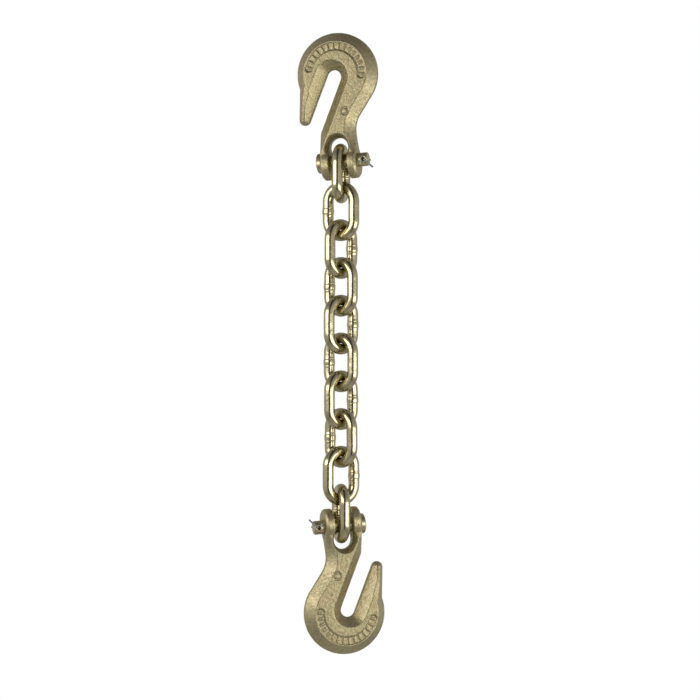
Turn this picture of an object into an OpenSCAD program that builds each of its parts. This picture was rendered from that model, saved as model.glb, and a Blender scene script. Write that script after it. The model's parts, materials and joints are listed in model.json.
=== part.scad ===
// Transport binder chain: welded links with a clevis grab hook at each end.
// It hangs from the upper hook. The origin is the centre of the upper hook's throat
// seat, +Z is up and +Y runs through that hook's thickness. The lower half repeats
// the upper half, turned half a turn about a level axis through the chain's middle.
// A hook's own frame has its throat seat at the origin and its pin along X, below it.

/* [Chain] */
// Diameter of the links' wire
wire_d = 10; // [8:0.5:12.5]
// Inside length of a link
link_in_len = 35; // [32:0.5:46]
// Inside width of a link
link_in_w = 17.5; // [16:0.5:22]
// Links in each half of the chain
half_links = 5; // [2:1:12]
// Diameter of the weld's bead
weld_d = 10.9; // [10.5:0.1:14]
// Length of the weld's bead
weld_len = 8; // [5:0.5:12]

/* [Hook] */
// Radius of the bowl's outer edge
bowl_r = 38; // [36:0.5:46]
// Thickness of the hook across its flat faces
hook_t = 22; // [18:0.5:27]
// Thickness left at the parting line
land_t = 4; // [2:0.5:6]
// Width of the sloped flank round the outside
flank_w = 8.2; // [6:0.2:10]
// Width of the sloped flank round the throat
throat_flank_w = 9; // [6:0.5:10]
// Angle of the throat from the line of pull
throat_slant = 25.6; // [22:0.2:29]
// Distance along the throat from its seat to the tip
tip_reach = 46; // [42:0.5:52]
// Radius of the tip's round end
tip_r = 5.3; // [4:0.1:6.5]
// Lean of each hook from the chain's line
hook_lean = 4.6; // [0:0.2:8]

/* [Clevis] */
// Distance from the throat seat to the pin
pin_drop = 77.6; // [76:0.2:94]
// Diameter of the pin
pin_d = 12.7; // [10.5:0.1:14]
// Thickness of each ear
ear_t = 8; // [6.5:0.5:10]
// Radius of the ears' round ends
eye_r = 14.2; // [13:0.2:17]
// Diameter of the pin's head
pin_head_d = 18.5; // [16:0.5:23]
// Thickness of the pin's head
pin_head_t = 5.7; // [4:0.1:8]
// Diameter of the cotter's wire
cotter_d = 1.6; // [1.2:0.1:2]

/* [Fits] */
// Play of the throat over a link's wire
throat_play = 3.6; // [2:0.2:5]
// Play of a link's wire to each ear
gap_play = 4; // [3:0.2:5]
// Radial clearance of the pin in its bores
pin_fit = 0.08; // [0.02:0.01:0.1]
// Gap between pieces that bear on each other
seat_gap = 0.3; // [0.2:0.05:0.5]

/* [Hidden] */
$fn = 64;
plating = [0.68, 0.62, 0.44];
bright_wire = [0.66, 0.68, 0.68];
past = 1;

// Link
wire_r = wire_d / 2;
crown_r = (link_in_w + wire_d) / 2;
leg_len = link_in_len - link_in_w;
apex = leg_len / 2 + crown_r;
pitch = link_in_len - seat_gap;
weld_flat = weld_len / 2;

// Each link's turn about the chain's line, from the hook to the middle.
// Further links carry on with the last two.
turns = [90, -16, 58, -25, 53];
function link_turn(i) = i < len(turns) ? turns[i] : turns[len(turns) - 2 + (i - len(turns)) % 2];

// Bearing of the level axis about which the lower half repeats the upper half
half_turn_bearing = 15;

// Hook
half_t = hook_t / 2;
half_land = land_t / 2;
run_out = (half_t + past - half_land) / (half_t - half_land);
seat_r = (wire_d + throat_play) / 2;
bowl_at = [3.4, 2.6];
along = [-sin(throat_slant), -cos(throat_slant)];
across = [along[1], -along[0]];
gap_half = wire_r + gap_play;
half_w = gap_half + ear_t;
side_w = half_w - 0.4;
arch_rise = eye_r + 7.5;
arch_z = arch_rise - gap_half - pin_drop;
arch_flank_w = 4.4;
arch_flank_up = 0.6;
slot_len = pin_drop;

// Waist: a round hollow in the shank's right side, tangent to the clevis's side.
// A straight edge runs from the bowl to it along their common tangent.
// The shank stands a small step inside the bowl all round.
waist_r = 24;
waist_at = [side_w + waist_r, -pin_drop + 26.5];
waist_way = waist_at - bowl_at;
waist_bearing = atan2(waist_way[1], waist_way[0]) + acos((bowl_r + waist_r) / norm(waist_way));
waist_out = [cos(waist_bearing), sin(waist_bearing)];
bowl_end = bowl_at + bowl_r * waist_out;
waist_start = waist_at - waist_r * waist_out;
shank_step = 0.1;
tip_bearing = 215;

// Tip, whose land is a little narrower: three stations along the throat's outer wall, as [reach, radius, face radius, thickness]
tip_land = 0.8 * half_land;
tip_stations = [
    [8, seat_r + 5.2, seat_r - 2.5, hook_t - 1],
    [tip_reach - 16, tip_r + 2.8, tip_r - 2, hook_t - 3],
    [tip_reach, tip_r, tip_r - 3.2, hook_t / 2],
];

// Panel on the bowl's faces: a sunk arc with plain ribs, and a round mark on the shank
panel_r = bowl_r - flank_w - 4.6;
panel_half_w = 3.8;
panel_from = -7;
panel_to = 163;
panel_depth = 0.9;
rib_count = 15;
rib_w = 1.3;
rib_len = 4.6;
rib_h = 0.6;
mark_at = [10.4, -32.5];
mark_d = 8.4;
mark_depth = 0.7;
mark_pip_d = 4;

// Pin and cotter
pin_r = pin_d / 2;
stub_len = 9;
pin_edge = 0.9;
cotter_r = cotter_d / 2;
cotter_split = 0.12;
cotter_hole_r = cotter_d + 0.25;
cotter_x = half_w + seat_gap + stub_len - cotter_hole_r - 2;
cotter_eye_r = 2.4;
cotter_bend_r = 1.4;
cotter_lift = 0.3;
long_leg = 10.5;
short_leg = 3.2;
long_leg_dip = 46;
short_leg_dip = 118;

// Places in the hanging chain
pin_at = [pin_drop * sin(hook_lean), 0, -pin_drop * cos(hook_lean)];
first_z = pin_at[2] + pin_r + seat_gap + wire_r - apex;
mid_z = first_z - (half_links - 0.5) * pitch;

// Names of the links, from the upper hook to the lower hook
function link_name(i) = str("link_", i < 9 ? "0" : "", i + 1);
link_names = [for (i = [0 : 2 * half_links - 1]) link_name(i)];

// Puts a hook's piece in the upper half
module upper() {
    rotate([0, -hook_lean, 0]) children();
}

// Repeats a piece of the upper half in the lower half
module lower() {
    translate([pin_at[0], 0, mid_z])
        rotate([0, 0, half_turn_bearing])
            rotate([0, 180, 0])
                rotate([0, 0, -half_turn_bearing])
                    translate([-pin_at[0], 0, -mid_z])
                        children();
}

// Turns a shape drawn round Z so that it stands round Y
module round_y() {
    rotate([90, 0, 0]) children();
}

// Outline of a round body with sloped flanks: its radius at the land and at the faces
module flanked_outline(r, face_r, t, land = half_land) {
    polygon([
        [0, -t / 2], [face_r, -t / 2], [r, -land],
        [r, land], [face_r, t / 2], [0, t / 2],
    ]);
}

// A round body with sloped flanks
module puck(r, face_r, t, land = half_land) {
    round_y() rotate_extrude() flanked_outline(r, face_r, t, land);
}

// A round cutter that flares towards both faces
module flared_hole(r, w) {
    puck(r, r + w * run_out, hook_t + 2 * past);
}

// A stretch of that cutter, from one bearing round to another
module flared_stretch(r, w, from, to) {
    round_y()
        rotate([0, 0, from])
            rotate_extrude(angle = to - from)
                flanked_outline(r, r + w * run_out, hook_t + 2 * past);
}

// Half of an edge cutter: it removes what lies beyond x = 0 and slopes the flank
module edge_outline(w, reach) {
    polygon([
        [reach, -half_t - past], [-w * run_out, -half_t - past], [0, -half_land],
        [0, half_land], [-w * run_out, half_t + past], [reach, half_t + past],
    ]);
}

module link(weld_side) {
    color(plating) {
        for (turn = [0, 180])
            rotate([0, turn, 0])
                translate([0, 0, leg_len / 2])
                    rotate([90, 0, 0])
                        rotate_extrude(angle = 180)
                            translate([crown_r, 0])
                                circle(wire_r);
        for (side = [-1, 1])
            translate([side * crown_r, 0, -leg_len / 2])
                cylinder(h = leg_len, r = wire_r);
        translate([weld_side * crown_r, 0, 0]) weld();
    }
}

// The bead left where a leg is welded
module weld() {
    rotate_extrude()
        polygon([
            [0, -weld_len / 2], [wire_r, -weld_len / 2], [weld_d / 2, -weld_flat / 2],
            [weld_d / 2, weld_flat / 2], [wire_r, weld_len / 2], [0, weld_len / 2],
        ]);
}

// A link in its place in the upper half; i counts from the hook
module hung_link(i) {
    translate([pin_at[0], 0, first_z - i * pitch])
        rotate([0, 0, link_turn(i)])
            link(i % 2 == 0 ? 1 : -1);
}

// The bowl, from the shank's edge round to the tip's side of the throat
module bowl() {
    translate([bowl_at[0], 0, bowl_at[1]])
        round_y()
            rotate([0, 0, waist_bearing])
                rotate_extrude(angle = tip_bearing - waist_bearing)
                    flanked_outline(bowl_r, bowl_r - flank_w, hook_t);
}

// One station of the tip, beside the throat's outer wall
module tip_station(s) {
    at = s[0] * along + (seat_r + s[1]) * across;
    translate([at[0], 0, at[1]])
        puck(s[1], s[2], s[3], tip_land, $fn = 32);
}

module tip() {
    for (i = [0, 1])
        hull() {
            tip_station(tip_stations[i]);
            tip_station(tip_stations[i + 1]);
        }
}

// The shank and the clevis's block, with the waist cut from its right side
module shank() {
    mouth = side_w / -along[0] * along;
    difference() {
        round_y()
            linear_extrude(hook_t - 2 * shank_step, center = true)
                polygon([
                    [0, 0], bowl_at, bowl_end, waist_start, [side_w, waist_at[1]],
                    [side_w, -pin_drop], [-side_w, -pin_drop], mouth,
                ]);
        waist();
    }
}

// The ears' round ends, which stand a little proud of the faces
module ear_ends() {
    bevel = 2;
    drop = 2.2;
    translate([0, 0, -pin_drop - drop])
        rotate([0, 90, 0])
            rotate_extrude()
                polygon([
                    [0, -half_w], [eye_r - bevel, -half_w], [eye_r, bevel - half_w],
                    [eye_r, half_w - bevel], [eye_r - bevel, half_w], [0, half_w],
                ]);
}

// The throat: a flared seat with a flared slot that runs out past the mouth
module throat() {
    wide = seat_r + throat_flank_w * run_out;
    flared_stretch(seat_r, throat_flank_w, -throat_slant, 180 - throat_slant);
    rotate([0, 180 + throat_slant, 0])
        linear_extrude(slot_len)
            polygon([
                [-wide, -half_t - past], [wide, -half_t - past], [seat_r, -half_land],
                [seat_r, half_land], [wide, half_t + past], [-wide, half_t + past],
                [-seat_r, half_land], [-seat_r, -half_land],
            ]);
}

// The waist's hollow and the straight flank above it
module waist() {
    straight = norm(waist_start - bowl_end);
    translate([waist_at[0], 0, waist_at[1]])
        flared_stretch(waist_r + shank_step, flank_w, waist_bearing + 180, 270);
    translate([waist_start[0], 0, waist_start[1]])
        rotate([0, -waist_bearing, 0])
            translate([-shank_step, 0, 0])
                linear_extrude(straight + past)
                    edge_outline(flank_w, waist_r);
}

// The gap between the ears, arched at its top
module clevis_gap() {
    depth = 2 * (eye_r + past);
    translate([0, 0, arch_z])
        round_y()
            rotate_extrude(angle = 180)
                translate([0, -depth / 2])
                    square([gap_half, depth]);
    translate([-gap_half, -depth / 2, arch_z - pin_drop])
        cube([2 * gap_half, depth, pin_drop]);
    translate([0, 0, arch_z + arch_flank_up])
        flared_hole(gap_half - 2 * arch_flank_up, arch_flank_w);
}

module pin_bore() {
    translate([-half_w - past, 0, -pin_drop])
        rotate([0, 90, 0])
            cylinder(h = 2 * (half_w + past), r = pin_r + pin_fit);
}

// The sunk arc with round ends, on the face towards -Y
module panel() {
    floor_y = -half_t + panel_depth;
    translate([bowl_at[0], floor_y, bowl_at[1]])
        round_y() {
            rotate([0, 0, panel_from])
                rotate_extrude(angle = panel_to - panel_from)
                    translate([panel_r - panel_half_w, 0])
                        square([2 * panel_half_w, panel_depth + past]);
            for (end = [[panel_from, 180], [panel_to, 0]])
                rotate([0, 0, end[0]])
                    translate([panel_r, 0, 0])
                        rotate([0, 0, end[1]])
                            rotate_extrude(angle = 180)
                                square([panel_half_w, panel_depth + past]);
        }
}

// Plain raised ribs, evenly spaced round the panel
module panel_ribs() {
    step = (panel_to - panel_from) / (rib_count - 1);
    translate([bowl_at[0], -half_t + panel_depth, bowl_at[1]])
        round_y()
            for (i = [0 : rib_count - 1])
                rotate([0, 0, panel_from + i * step])
                    translate([panel_r - rib_len / 2, -rib_w / 2, -past])
                        cube([rib_len, rib_w, rib_h + past]);
}

// A plain round mark: a sunk ring round a pip
module mark() {
    translate([mark_at[0], -half_t + mark_depth, mark_at[1]])
        round_y()
            difference() {
                cylinder(h = mark_depth + past, d = mark_d);
                translate([0, 0, -past]) cylinder(h = mark_depth + 3 * past, d = mark_pip_d);
            }
}

module hook() {
    color(plating) {
        difference() {
            union() {
                bowl();
                tip();
                shank();
                ear_ends();
            }
            throat();
            clevis_gap();
            pin_bore();
            panel();
            mirror([0, 1, 0]) panel();
            mark();
        }
        panel_ribs();
        mirror([0, 1, 0]) panel_ribs();
    }
}

// The clevis pin, headed at one end and cross-drilled at the other
module pin() {
    head_x = -half_w - seat_gap - pin_head_t;
    end_x = half_w + seat_gap + stub_len;
    color(plating)
        translate([0, 0, -pin_drop])
            difference() {
                rotate([0, 90, 0])
                    rotate_extrude()
                        polygon([
                            [0, head_x], [pin_head_d / 2 - pin_edge, head_x],
                            [pin_head_d / 2, head_x + pin_edge],
                            [pin_head_d / 2, head_x + pin_head_t], [pin_r, head_x + pin_head_t],
                            [pin_r, end_x - pin_edge], [pin_r - pin_edge, end_x], [0, end_x],
                        ]);
                translate([cotter_x, 0, 0])
                    round_y()
                        cylinder(h = 2 * pin_d, r = cotter_hole_r, center = true);
            }
}

// One leg of the cotter: straight through the pin, then bent over by a quarter turn
module cotter_leg(side, dip, reach) {
    bend_y = -pin_r - cotter_lift - cotter_r + cotter_bend_r;
    translate([side * (cotter_r + cotter_split / 2), bend_y, 0])
        rotate([0, dip, 0]) {
            rotate([-90, 0, 0])
                cylinder(h = pin_r + cotter_eye_r - bend_y, r = cotter_r, $fn = 32);
            translate([cotter_bend_r, 0, 0]) {
                rotate([0, 0, 180])
                    rotate_extrude(angle = 90)
                        translate([cotter_bend_r, 0])
                            circle(cotter_r, $fn = 32);
                translate([0, -cotter_bend_r, 0])
                    rotate([0, 90, 0])
                        cylinder(h = reach, r = cotter_r, $fn = 32);
            }
        }
}

// The cotter: a round eye behind the pin and two legs bent over in front of it
module cotter() {
    color(bright_wire)
        translate([cotter_x, 0, -pin_drop]) {
            translate([0, pin_r + 2 * cotter_eye_r, 0])
                rotate_extrude()
                    translate([cotter_eye_r, 0])
                        circle(cotter_r, $fn = 32);
            cotter_leg(1, long_leg_dip, long_leg);
            cotter_leg(-1, short_leg_dip, short_leg);
        }
}

upper() hook();  // upper_hook
upper() pin();  // upper_pin
upper() cotter();  // upper_cotter
for (i = [0 : half_links - 1]) {
    hung_link(i);
    lower() hung_link(i);
}
lower() upper() hook();  // lower_hook
lower() upper() pin();  // lower_pin
lower() upper() cotter();  // lower_cotter
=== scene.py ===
"""Looks of the load binder chain: forged hooks, welded links, pins and cotters, in a white studio.

Meshes are worked in millimetres, from the CAD nodes, and scaled to metres when they are finished.
Shader noise scales are per metre, in each object's own coordinates.
"""
import json
import math

import bpy
import numpy as np
from mathutils import Matrix, Vector, noise


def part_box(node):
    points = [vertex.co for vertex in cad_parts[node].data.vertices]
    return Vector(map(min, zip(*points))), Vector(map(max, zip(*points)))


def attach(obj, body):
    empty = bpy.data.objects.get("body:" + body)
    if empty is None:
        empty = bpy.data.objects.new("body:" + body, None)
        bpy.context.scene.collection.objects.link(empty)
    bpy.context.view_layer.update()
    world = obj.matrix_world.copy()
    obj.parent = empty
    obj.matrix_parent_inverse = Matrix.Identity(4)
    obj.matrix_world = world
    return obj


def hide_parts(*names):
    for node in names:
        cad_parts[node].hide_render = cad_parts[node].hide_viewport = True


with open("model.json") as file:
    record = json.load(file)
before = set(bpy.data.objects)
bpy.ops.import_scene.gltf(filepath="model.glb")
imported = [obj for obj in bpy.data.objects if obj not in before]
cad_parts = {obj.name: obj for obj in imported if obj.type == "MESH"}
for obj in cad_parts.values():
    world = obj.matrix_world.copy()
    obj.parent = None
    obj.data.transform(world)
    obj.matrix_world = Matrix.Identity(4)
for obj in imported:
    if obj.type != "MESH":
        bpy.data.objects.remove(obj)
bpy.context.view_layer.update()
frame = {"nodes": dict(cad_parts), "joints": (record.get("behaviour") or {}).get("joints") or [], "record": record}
joints = {joint["name"]: joint for joint in frame["joints"]}
mounts = {mount["name"]: mount for mount in frame["record"]["mounts"]}
link_nodes = sorted(name for name in frame["nodes"] if name.startswith("link_"))

MM = 0.001
UP = Vector((0, 0, 1))

# The camera looks level at the chain, from a little to the right of the upper hook's front.
VIEW_AZIMUTH = math.radians(15)
TO_CAMERA = Vector((math.sin(VIEW_AZIMUTH), -math.cos(VIEW_AZIMUTH), 0))
CAMERA_RIGHT = Vector((math.cos(VIEW_AZIMUTH), math.sin(VIEW_AZIMUTH), 0))

# The line that the links hang on, and the point on it halfway down the chain
chain_line = Vector(joints["link_02_swing"]["pos_m"])
chain_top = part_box(link_nodes[0])[1].z
chain_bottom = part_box(link_nodes[-1])[0].z
MIDDLE = Vector((chain_line.x, chain_line.y, (chain_top + chain_bottom) / 2))


# ---------------------------------------------------------------- materials

# Where a noise's values mostly lie
NOISE_LOW, NOISE_MID, NOISE_HIGH = 0.3, 0.5, 0.7

# Patches that cloud the plate's own tint, the noise values they rise over, and their share
BLUSH = (0.60, 0.42, 0.27)
BLUSH_SCALE, BLUSH_FROM, BLUSH_FULL = 70, 0.5, 0.75
OLIVE = (0.40, 0.43, 0.24)
OLIVE_STRETCH = (1, 1.2, 0.8)
OLIVE_SCALE, OLIVE_FROM, OLIVE_FULL = 95, 0.52, 0.8
CLOUD_SHARE = 0.35

# Bright edges, partly real wear and partly a painted highlight, and painted shade in hollows, by pointiness, which
# is 0.5 on a flat face
WORN_EDGE_HIGHLIGHT = (0.80, 0.72, 0.48)
WORN_HIGHLIGHT_FROM, WORN_HIGHLIGHT_FULL = 0.515, 0.56
HOLLOW_SHADE = (0.16, 0.12, 0.06)
HOLLOW_SHADE_FULL, HOLLOW_SHADE_NONE = 0.44, 0.49

# Painted shade in recesses, by how open they are to within a reach, and the darker colour on sunk faces
RECESS_SHADE = (0.17, 0.13, 0.065)
RECESS_REACH, RECESS_SAMPLES = 16 * MM, 8
RECESS_SHADE_FULL, RECESS_SHADE_NONE = 0.35, 0.85
SUNK_DARKER = (0.24, 0.20, 0.11)
SUNK_SHARE = 0.5

PLATE_POLISH_SCALE = 400

WIRE_DARK, WIRE_LIGHT = (0.17, 0.20, 0.19), (0.33, 0.37, 0.35)
WIRE_TINT_SCALE, WIRE_POLISH_SCALE, WIRE_GRAIN_SCALE = 300, 900, 1200
WIRE_GLOSSY, WIRE_DULL = 0.28, 0.45
WIRE_GRAIN = 0.03 * MM

# The Mix node's colour sockets, which have the same names as its other sockets
MIX_A, MIX_B, MIX_RESULT = 6, 7, 2


def new_material(name):
    material = bpy.data.materials.new(name)
    material.use_nodes = True
    tree = material.node_tree
    tree.nodes.clear()
    out = tree.nodes.new("ShaderNodeOutputMaterial")
    shader = tree.nodes.new("ShaderNodeBsdfPrincipled")
    tree.links.new(shader.outputs["BSDF"], out.inputs["Surface"])
    return material, tree, shader


def noise_node(tree, scale, detail=4, roughness=0.55, stretch=(1, 1, 1)):
    coords = tree.nodes.new("ShaderNodeTexCoord")
    mapping = tree.nodes.new("ShaderNodeMapping")
    mapping.inputs["Scale"].default_value = stretch
    tree.links.new(coords.outputs["Object"], mapping.inputs["Vector"])
    node = tree.nodes.new("ShaderNodeTexNoise")
    node.inputs["Scale"].default_value = scale
    node.inputs["Detail"].default_value = detail
    node.inputs["Roughness"].default_value = roughness
    tree.links.new(mapping.outputs["Vector"], node.inputs["Vector"])
    return node.outputs["Fac"]


def ramp(tree, source, *stops):
    """Each stop is (position, grey value or colour)."""
    node = tree.nodes.new("ShaderNodeValToRGB")
    elements = node.color_ramp.elements
    while len(elements) < len(stops):
        elements.new(0.5)
    for element, (at, colour) in zip(elements, stops):
        element.position = at
        element.color = (*colour, 1) if hasattr(colour, "__len__") else (colour, colour, colour, 1)
    tree.links.new(source, node.inputs["Fac"])
    return node.outputs["Color"]


def feed(tree, socket, value):
    """Link a socket, or set a colour or a number."""
    if isinstance(value, bpy.types.NodeSocket):
        tree.links.new(value, socket)
    elif hasattr(value, "__len__"):
        socket.default_value = (*value, 1)
    else:
        socket.default_value = value


def mix(tree, factor, a, b):
    node = tree.nodes.new("ShaderNodeMix")
    node.data_type = "RGBA"
    feed(tree, node.inputs["Factor"], factor)
    feed(tree, node.inputs[MIX_A], a)
    feed(tree, node.inputs[MIX_B], b)
    return node.outputs[MIX_RESULT]


def maths(tree, operation, *values):
    node = tree.nodes.new("ShaderNodeMath")
    node.operation = operation
    for socket, value in zip(node.inputs, values):
        feed(tree, socket, value)
    return node.outputs[0]


def bump(tree, shader, *layers):
    """Each layer is (height socket, real height in metres)."""
    last = None
    for height, distance in layers:
        node = tree.nodes.new("ShaderNodeBump")
        node.inputs["Distance"].default_value = distance
        tree.links.new(height, node.inputs["Height"])
        if last:
            tree.links.new(last, node.inputs["Normal"])
        last = node.outputs["Normal"]
    tree.links.new(last, shader.inputs["Normal"])


def clouded(tree, tint):
    """The tint under faint patches of blush and olive."""
    blush = ramp(tree, noise_node(tree, BLUSH_SCALE, 3), (BLUSH_FROM, 0), (BLUSH_FULL, 1))
    olive = ramp(tree, noise_node(tree, OLIVE_SCALE, 3, 0.5, OLIVE_STRETCH),
                 (OLIVE_FROM, 0), (OLIVE_FULL, 1))
    cloud = mix(tree, olive, mix(tree, blush, tint, BLUSH), OLIVE)
    return mix(tree, CLOUD_SHARE, tint, cloud)


def wear_and_painted_light(tree, colour):
    """Edge wear with a painted highlight, painted shade in hollows and recesses, darker sunk faces."""
    point = tree.nodes.new("ShaderNodeNewGeometry").outputs["Pointiness"]
    # Bright edges, partly real edge wear and partly a painted highlight
    worn_highlight = ramp(tree, point, (WORN_HIGHLIGHT_FROM, 0), (WORN_HIGHLIGHT_FULL, 1))
    # Painted shade in hollows, where the pointiness falls below a flat face's
    hollow_shade = ramp(tree, point, (HOLLOW_SHADE_FULL, 1), (HOLLOW_SHADE_NONE, 0))
    colour = mix(tree, worn_highlight, colour, WORN_EDGE_HIGHLIGHT)
    colour = mix(tree, hollow_shade, colour, HOLLOW_SHADE)
    # Painted shade in recesses, from local ambient occlusion
    shade = tree.nodes.new("ShaderNodeAmbientOcclusion")
    shade.only_local = True
    shade.samples = RECESS_SAMPLES
    shade.inputs["Distance"].default_value = RECESS_REACH
    recess_shade = ramp(tree, shade.outputs["AO"], (RECESS_SHADE_FULL, 1), (RECESS_SHADE_NONE, 0))
    colour = mix(tree, recess_shade, colour, RECESS_SHADE)
    # Sunk faces made darker, by the "sunk" attribute
    sunk = tree.nodes.new("ShaderNodeAttribute")
    sunk.attribute_name = "sunk"
    sunk_darkening = maths(tree, "MULTIPLY", sunk.outputs["Fac"], SUNK_SHARE)
    return mix(tree, sunk_darkening, colour, SUNK_DARKER)


def plated(name, light, mid, dark, tint_scale, glossy, dull, grain, edges):
    """Yellow zinc plate: a tint that wanders, a polish that varies and a fine grain.

    The grain is (noise scale, real height in metres) for each layer. A piece with edges gets
    edge wear with a painted highlight, painted shade in hollows and recesses, darker sunk faces.
    """
    material, tree, shader = new_material(name)
    tint = ramp(tree, noise_node(tree, tint_scale, 5, 0.6),
                (NOISE_LOW, dark), (NOISE_MID, mid), (NOISE_HIGH, light))
    colour = clouded(tree, tint)
    # Edge wear and painted highlights, painted shade in hollows and recesses, darker sunk faces
    if edges:
        colour = wear_and_painted_light(tree, colour)
    tree.links.new(colour, shader.inputs["Base Color"])
    polish = ramp(tree, noise_node(tree, PLATE_POLISH_SCALE, 4, 0.6),
                  (NOISE_LOW, glossy), (NOISE_HIGH, dull))
    tree.links.new(polish, shader.inputs["Roughness"])
    shader.inputs["Metallic"].default_value = 1.0
    bump(tree, shader, *[(noise_node(tree, scale, 3, 0.6), height) for scale, height in grain])
    return material


def drawn_wire():
    material, tree, shader = new_material("bright_drawn_wire")
    tint = ramp(tree, noise_node(tree, WIRE_TINT_SCALE),
                (NOISE_LOW, WIRE_DARK), (NOISE_HIGH, WIRE_LIGHT))
    tree.links.new(tint, shader.inputs["Base Color"])
    polish = ramp(tree, noise_node(tree, WIRE_POLISH_SCALE),
                  (NOISE_LOW, WIRE_GLOSSY), (NOISE_HIGH, WIRE_DULL))
    tree.links.new(polish, shader.inputs["Roughness"])
    shader.inputs["Metallic"].default_value = 1.0
    bump(tree, shader, (noise_node(tree, WIRE_GRAIN_SCALE), WIRE_GRAIN))
    return material


forged = plated("forged_yellow_zinc",
                light=(0.60, 0.53, 0.33), mid=(0.50, 0.435, 0.255), dark=(0.37, 0.32, 0.18),
                tint_scale=420, glossy=0.38, dull=0.55,
                grain=[(420, 0.30 * MM), (1100, 0.12 * MM)], edges=True)
link_plate = plated("link_yellow_zinc",
                    light=(0.63, 0.57, 0.37), mid=(0.56, 0.50, 0.31), dark=(0.47, 0.42, 0.25),
                    tint_scale=170, glossy=0.14, dull=0.26,
                    grain=[(330, 0.04 * MM), (1500, 0.01 * MM)], edges=False)
pin_plate = plated("pin_yellow_zinc",
                   light=(0.60, 0.54, 0.34), mid=(0.52, 0.46, 0.27), dark=(0.42, 0.37, 0.21),
                   tint_scale=260, glossy=0.24, dull=0.38,
                   grain=[(600, 0.08 * MM), (1500, 0.03 * MM)], edges=True)
bright_wire = drawn_wire()


# ---------------------------------------------------------------- meshes, in millimetres

# The cells that a CAD copy is remeshed in, and the smoothing after it
HOOK_VOXEL, PIN_VOXEL, COTTER_VOXEL = 0.5, 0.3, 0.14
SMOOTH_FACTOR, STEEL_ROUNDS, COTTER_ROUNDS = 0.5, 4, 2
WELD_DISTANCE = 0.001

# The lumps in a skin: how far they stand out, how wide they are on a forging and on bent wire,
# how the noise that makes them fades with detail, and how far apart two seeds' noises lie
LUMP_HEIGHT = 0.07
FORGED_LUMP, BENT_LUMP = 3.2, 10
LUMP_FADE, LUMP_LACUNARITY, LUMP_OCTAVES = 0.7, 2.0, 3
SEED_STEP = (17.3, 5.9, 11.1)

# The bore keeps its round: how far from the pin's axis the lumps start, and fade in over
BORE_CLEAR, BORE_FADE = 8, 4

# A sunk face is square to the hook's thickness, by the cosine, and below the hook's own face,
# which lies at this percentile of the depth
SQUARE_FROM, SQUARE_FADE = 0.85, 0.1
FACE_PERCENTILE = 99
SUNK_FROM, SUNK_FADE = 0.2, 0.5

# The pin: how much of each end is measured to find the head, how far from its end the dome
# starts, and how far the rim is turned back
END_BAND = 2
DOME_LENGTH, DOME_DROP = 4.5, 1.6

# The link: half of the legs' middle, which is clear of the crowns, then the sweep's steps along
# the welded and the plain leg, its steps round each crown, and the points round the wire
LEG_MIDDLE = 4.5
WELD_STEP, LEG_STEP = 0.25, 0.7
CROWN_STEPS, WIRE_POINTS = 48, 44

# The weld: half of the bead's length, how its swell rises, and the trimmed groove on either
# side of the bead, which wanders round the wire
BEAD_HALF, SWELL_POWER = 5.4, 0.7
TRIM_AT, TRIM_WIDTH, TRIM_DEPTH = 2.7, 0.3, 0.26
TRIM_WANDER, TRIM_NOISE_R, TRIM_SEED_STEP = 0.25, 2, 3.7


def add_object(name, mesh, material):
    obj = bpy.data.objects.new(name, mesh)
    bpy.context.scene.collection.objects.link(obj)
    mesh.materials.clear()
    mesh.materials.append(material)
    return obj


def vertex_rows(mesh, what):
    """Every vertex's "co" or "normal", as rows of three."""
    values = np.empty(len(mesh.vertices) * 3, np.float32)
    mesh.vertices.foreach_get(what, values)
    return values.reshape(-1, 3).astype(float)


def set_coordinates(mesh, co):
    mesh.vertices.foreach_set("co", co.astype(np.float32).ravel())
    mesh.update()


def refined(node, name, material, voxel, rounds):
    """A closed, evenly meshed and slightly rounded copy of a CAD node."""
    mesh = frame["nodes"][node].data.copy()
    mesh.transform(Matrix.Scale(1 / MM, 4))
    obj = add_object(name, mesh, material)
    weld = obj.modifiers.new("weld", "WELD")
    weld.merge_threshold = WELD_DISTANCE
    remesh = obj.modifiers.new("remesh", "REMESH")
    remesh.mode = "VOXEL"
    remesh.voxel_size = voxel
    remesh.use_smooth_shade = True
    smooth = obj.modifiers.new("smooth", "SMOOTH")
    smooth.factor = SMOOTH_FACTOR
    smooth.iterations = rounds
    graph = bpy.context.evaluated_depsgraph_get()
    made = bpy.data.meshes.new_from_object(obj.evaluated_get(graph))
    obj.modifiers.clear()
    obj.data = made
    made.materials.clear()
    made.materials.append(material)
    made.shade_smooth()
    return obj


def finish_piece(obj, node, body):
    """Scale the piece to metres and place it in the frame."""
    obj.data.transform(Matrix.Scale(MM, 4))
    obj.data.update()
    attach(obj, body)
    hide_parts(node)


def lumps(co, size, seed):
    """How far a lumpy skin stands out at each point, for lumps of that size."""
    offset = Vector([seed * step for step in SEED_STEP])
    rises = [noise.fractal(Vector(p) / size + offset, LUMP_FADE, LUMP_LACUNARITY, LUMP_OCTAVES)
             for p in co]
    return np.array(rises) * LUMP_HEIGHT


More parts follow.
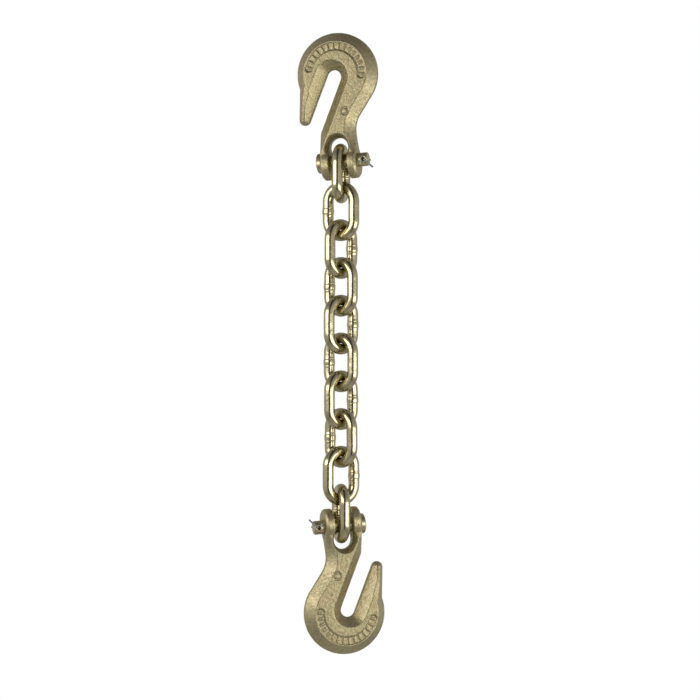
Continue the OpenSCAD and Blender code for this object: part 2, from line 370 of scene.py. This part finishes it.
def hook_piece(node, pin_joint, seed):
    """The hook with a forged skin, and "sunk" on the faces that lie below its own."""
    obj = refined(node, node + "_forging", forged, HOOK_VOXEL, STEEL_ROUNDS)
    co = vertex_rows(obj.data, "co")
    pin_at = np.array(joints[pin_joint]["pos_m"]) / MM
    pin_axis = np.array(joints[pin_joint]["axis"])
    from_axis = np.linalg.norm(np.cross(co - pin_at, pin_axis), axis=1)
    off_bore = np.clip((from_axis - BORE_CLEAR) / BORE_FADE, 0, 1)
    skin = lumps(co, FORGED_LUMP, seed) * off_bore
    co += vertex_rows(obj.data, "normal") * skin[:, None]
    set_coordinates(obj.data, co)

    throat = mounts[node.replace("hook", "throat")]
    through = np.array(throat["axis"])
    depth = np.abs((co - np.array(throat["pos_m"]) / MM) @ through)
    square = np.abs(vertex_rows(obj.data, "normal") @ through)
    flat = np.clip((square - SQUARE_FROM) / SQUARE_FADE, 0, 1)
    face = np.percentile(depth, FACE_PERCENTILE)
    sunk = np.clip((face - SUNK_FROM - depth) / SUNK_FADE, 0, 1) * flat * off_bore
    attribute = obj.data.attributes.new("sunk", "FLOAT", "POINT")
    attribute.data.foreach_set("value", sunk.astype(np.float32))
    finish_piece(obj, node, node)


def pin_piece(node, joint):
    """The pin with its head's end turned to a low dome."""
    obj = refined(node, node + "_turned", pin_plate, PIN_VOXEL, STEEL_ROUNDS)
    co = vertex_rows(obj.data, "co")
    at = np.array(joints[joint]["pos_m"]) / MM
    axis = np.array(joints[joint]["axis"])
    along = (co - at) @ axis
    out = np.linalg.norm(co - at - along[:, None] * axis, axis=1)
    low_end_r = out[along < along.min() + END_BAND].max()
    high_end_r = out[along > along.max() - END_BAND].max()
    head = -1 if low_end_r > high_end_r else 1
    end = np.abs(along[np.sign(along) == head]).max()
    share = np.clip((head * along - (end - DOME_LENGTH)) / DOME_LENGTH, 0, 1)
    co -= head * axis * (share * DOME_DROP * (out / out.max()) ** 2)[:, None]
    set_coordinates(obj.data, co)
    finish_piece(obj, node, node)


def cotter_piece(node, body):
    obj = refined(node, node + "_bent", bright_wire, COTTER_VOXEL, COTTER_ROUNDS)
    finish_piece(obj, node, body)


def link_frame(node):
    """A link measured from its CAD mesh: its centre, the level side towards the weld, the
    direction across, the radius of the wire, the bead and the crown, and half of a leg."""
    cad = vertex_rows(frame["nodes"][node].data, "co") / MM
    low, high = cad.min(0), cad.max(0)
    centre = np.array([chain_line.x / MM, chain_line.y / MM, (low[2] + high[2]) / 2])
    cad -= centre
    level = cad[:, :2]
    widest = np.linalg.eigh(level.T @ level)[1][:, -1]
    side = np.array([*widest, 0])
    across = np.cross(side, [0, 0, 1])
    middle = np.abs(cad[:, 2]) < LEG_MIDDLE
    if (cad[middle] @ side).max() < -(cad[middle] @ side).min():
        side, across = -side, -across
    wire_r = np.abs(cad[~middle] @ across).max()
    outside = (cad[~middle] @ side).max()
    bead_r = np.abs(cad[middle] @ across).max()
    return centre, side, across, wire_r, bead_r, outside - wire_r, cad[:, 2].max() - outside


def loop_stations(crown_r, half_leg):
    """The wire's stations round the link: the distance from the weld, or None off the welded
    leg, the place aside and up, and the angle of the direction outwards."""
    def leg(step):
        return np.arange(-half_leg, half_leg, step)

    def crown(start, centre_z):
        turns = np.linspace(start, start + math.pi, CROWN_STEPS + 1)[:-1]
        return [(None, crown_r * math.cos(turn), centre_z + crown_r * math.sin(turn), turn)
                for turn in turns]

    welded_leg = [(s, crown_r, s, 0.0) for s in leg(WELD_STEP)]
    plain_leg = [(None, -crown_r, -s, math.pi) for s in leg(LEG_STEP)]
    return welded_leg + crown(0, half_leg) + plain_leg + crown(math.pi, -half_leg)


def link_piece(node, seed):
    """A bent and welded link: round wire swept round its loop, with the weld on one leg."""
    centre, side, across, wire_r, bead_r, crown_r, half_leg = link_frame(node)
    up = np.array(UP)
    rounds = np.linspace(0, 2 * math.pi, WIRE_POINTS, endpoint=False)
    ragged = np.array([
        TRIM_WANDER * noise.noise(Vector((TRIM_NOISE_R * math.cos(a), TRIM_NOISE_R * math.sin(a),
                                          seed * TRIM_SEED_STEP)))
        for a in rounds])
    stations = loop_stations(crown_r, half_leg)
    rings = []
    for from_weld, x, z, turn in stations:
        out = math.cos(turn) * side + math.sin(turn) * up
        reach = np.full(WIRE_POINTS, wire_r)
        if from_weld is not None:
            swell = 0.5 + 0.5 * math.cos(math.pi * min(abs(from_weld) / BEAD_HALF, 1))
            trims = sum(np.exp(-(((from_weld - at) - ragged) / TRIM_WIDTH) ** 2)
                        for at in (-TRIM_AT, TRIM_AT))
            reach = reach + (bead_r - wire_r) * swell ** SWELL_POWER - TRIM_DEPTH * trims
        middle = centre + x * side + z * up
        rim = np.cos(rounds)[:, None] * out + np.sin(rounds)[:, None] * across
        rings.append(middle + reach[:, None] * rim)
    co = np.concatenate(rings)

    faces = []
    for i in range(len(stations)):
        a, b = i * WIRE_POINTS, (i + 1) % len(stations) * WIRE_POINTS
        for j in range(WIRE_POINTS):
            k = (j + 1) % WIRE_POINTS
            faces.append((a + j, b + j, b + k, a + k))
    mesh = bpy.data.meshes.new(node + "_welded")
    mesh.from_pydata(co.tolist(), [], faces)
    mesh.update()
    mesh.shade_smooth()
    skin = lumps(co, BENT_LUMP, seed)
    set_coordinates(mesh, co + vertex_rows(mesh, "normal") * skin[:, None])
    finish_piece(add_object(node + "_welded", mesh, link_plate), node, node)


ENDS = ("upper", "lower")
for seed, end in enumerate(ENDS, 1):
    hook_piece(end + "_hook", end + "_pin_turn", seed)
for end in ENDS:
    pin_piece(end + "_pin", end + "_pin_turn")
for end in ENDS:
    cotter_piece(end + "_cotter", end + "_pin")
for seed, node in enumerate(link_nodes, len(ENDS) + 1):
    link_piece(node, seed)


# ---------------------------------------------------------------- studio, in metres

# The tent's grey falls from the level towards straight up and down: (upward share, grey)
TENT_LEVEL, TENT_STEEP = (0.2, 0.50), (0.8, 0.26)

# The dark gap on the camera's side, by a direction's sideways share
GAP_SHADE = (0.03, 0.03, 0.03)
GAP_FULL, GAP_NONE = 0.16, 0.4

# A key light on each side of the camera, one for each half of the chain
KEY_BEARING, KEY_DISTANCE = 50, 0.95
KEY_WIDTH, KEY_TALL = 1.05, 0.42
KEY_RADIANCE, KEY_COLOUR = 3.1, (1, 0.985, 0.95)

FLOOR_DROP, FLOOR_R, FLOOR_SIDES = 1.0, 1.4, 96
FLOOR_COLOUR, FLOOR_ROUGHNESS = (0.85, 0.85, 0.84), 0.7

# What the picture spans at the chain, where its centre lies from MIDDLE, and a long lens
PICTURE_SPAN = 0.6429
AIM_RIGHT, AIM_DOWN = 8.266 * MM, 5.970 * MM
LENS, SENSOR = 150, 36


def studio_world():
    """White to the camera; to everything else a grey tent with a dark gap."""
    world = bpy.data.worlds.new("studio")
    bpy.context.scene.world = world
    world.use_nodes = True
    tree = world.node_tree
    tree.nodes.clear()
    coords = tree.nodes.new("ShaderNodeTexCoord")

    def along(direction):
        node = tree.nodes.new("ShaderNodeVectorMath")
        node.operation = "DOT_PRODUCT"
        tree.links.new(coords.outputs["Generated"], node.inputs[0])
        node.inputs[1].default_value = direction
        return node.outputs["Value"]

    aside = maths(tree, "ABSOLUTE", along(CAMERA_RIGHT))
    in_front = maths(tree, "GREATER_THAN", along(TO_CAMERA), 0)
    gap = maths(tree, "MULTIPLY", ramp(tree, aside, (GAP_FULL, 1), (GAP_NONE, 0)), in_front)
    height = maths(tree, "ABSOLUTE", along(UP))
    tent = mix(tree, gap, ramp(tree, height, TENT_LEVEL, TENT_STEEP), GAP_SHADE)
    lit = tree.nodes.new("ShaderNodeBackground")
    tree.links.new(tent, lit.inputs["Color"])
    white = tree.nodes.new("ShaderNodeBackground")
    white.inputs["Color"].default_value = (1, 1, 1, 1)
    choose = tree.nodes.new("ShaderNodeMixShader")
    path = tree.nodes.new("ShaderNodeLightPath")
    out = tree.nodes.new("ShaderNodeOutputWorld")
    tree.links.new(path.outputs["Is Camera Ray"], choose.inputs["Fac"])
    tree.links.new(lit.outputs["Background"], choose.inputs[1])
    tree.links.new(white.outputs["Background"], choose.inputs[2])
    tree.links.new(choose.outputs["Shader"], out.inputs["Surface"])


def key_light(name, bearing, height):
    """A soft light at a bearing round from the camera, facing the chain's line at its height."""
    data = bpy.data.lights.new(name, "AREA")
    data.shape = "RECTANGLE"
    data.size, data.size_y = KEY_WIDTH, KEY_TALL
    data.energy = KEY_RADIANCE * math.pi * KEY_WIDTH * KEY_TALL
    data.color = KEY_COLOUR
    obj = bpy.data.objects.new(name, data)
    bpy.context.scene.collection.objects.link(obj)
    a = math.radians(bearing)
    way = TO_CAMERA * math.cos(a) + CAMERA_RIGHT * math.sin(a)
    obj.location = Vector((MIDDLE.x, MIDDLE.y, height)) + way * KEY_DISTANCE
    obj.rotation_mode = "QUATERNION"
    obj.rotation_quaternion = (-way).to_track_quat("-Z", "Y")
    obj.visible_camera = False


def studio_floor():
    mesh = bpy.data.meshes.new("studio_floor")
    ring = [Vector((FLOOR_R * math.cos(a), FLOOR_R * math.sin(a), 0))
            for a in np.linspace(0, 2 * math.pi, FLOOR_SIDES, endpoint=False)]
    mesh.from_pydata(ring, [], [tuple(range(FLOOR_SIDES))])
    material, _, shader = new_material("pale_floor")
    shader.inputs["Base Color"].default_value = (*FLOOR_COLOUR, 1)
    shader.inputs["Roughness"].default_value = FLOOR_ROUGHNESS
    floor = add_object("studio_floor", mesh, material)
    floor.location = (MIDDLE.x, MIDDLE.y, MIDDLE.z - FLOOR_DROP)


def studio_camera():
    camera = bpy.data.cameras.new("camera")
    camera.lens, camera.sensor_width = LENS, SENSOR
    obj = bpy.data.objects.new("camera", camera)
    bpy.context.scene.collection.objects.link(obj)
    bpy.context.scene.camera = obj
    aim = MIDDLE + CAMERA_RIGHT * AIM_RIGHT - UP * AIM_DOWN
    obj.location = aim + TO_CAMERA * (PICTURE_SPAN * LENS / SENSOR)
    obj.rotation_mode = "QUATERNION"
    obj.rotation_quaternion = (-TO_CAMERA).to_track_quat("-Z", "Y")


studio_world()
key_light("upper_left_key", -KEY_BEARING, MIDDLE.z + KEY_TALL / 2)
key_light("lower_right_key", KEY_BEARING, MIDDLE.z - KEY_TALL / 2)
studio_floor()
studio_camera()
bpy.context.scene.view_settings.view_transform = "Standard"
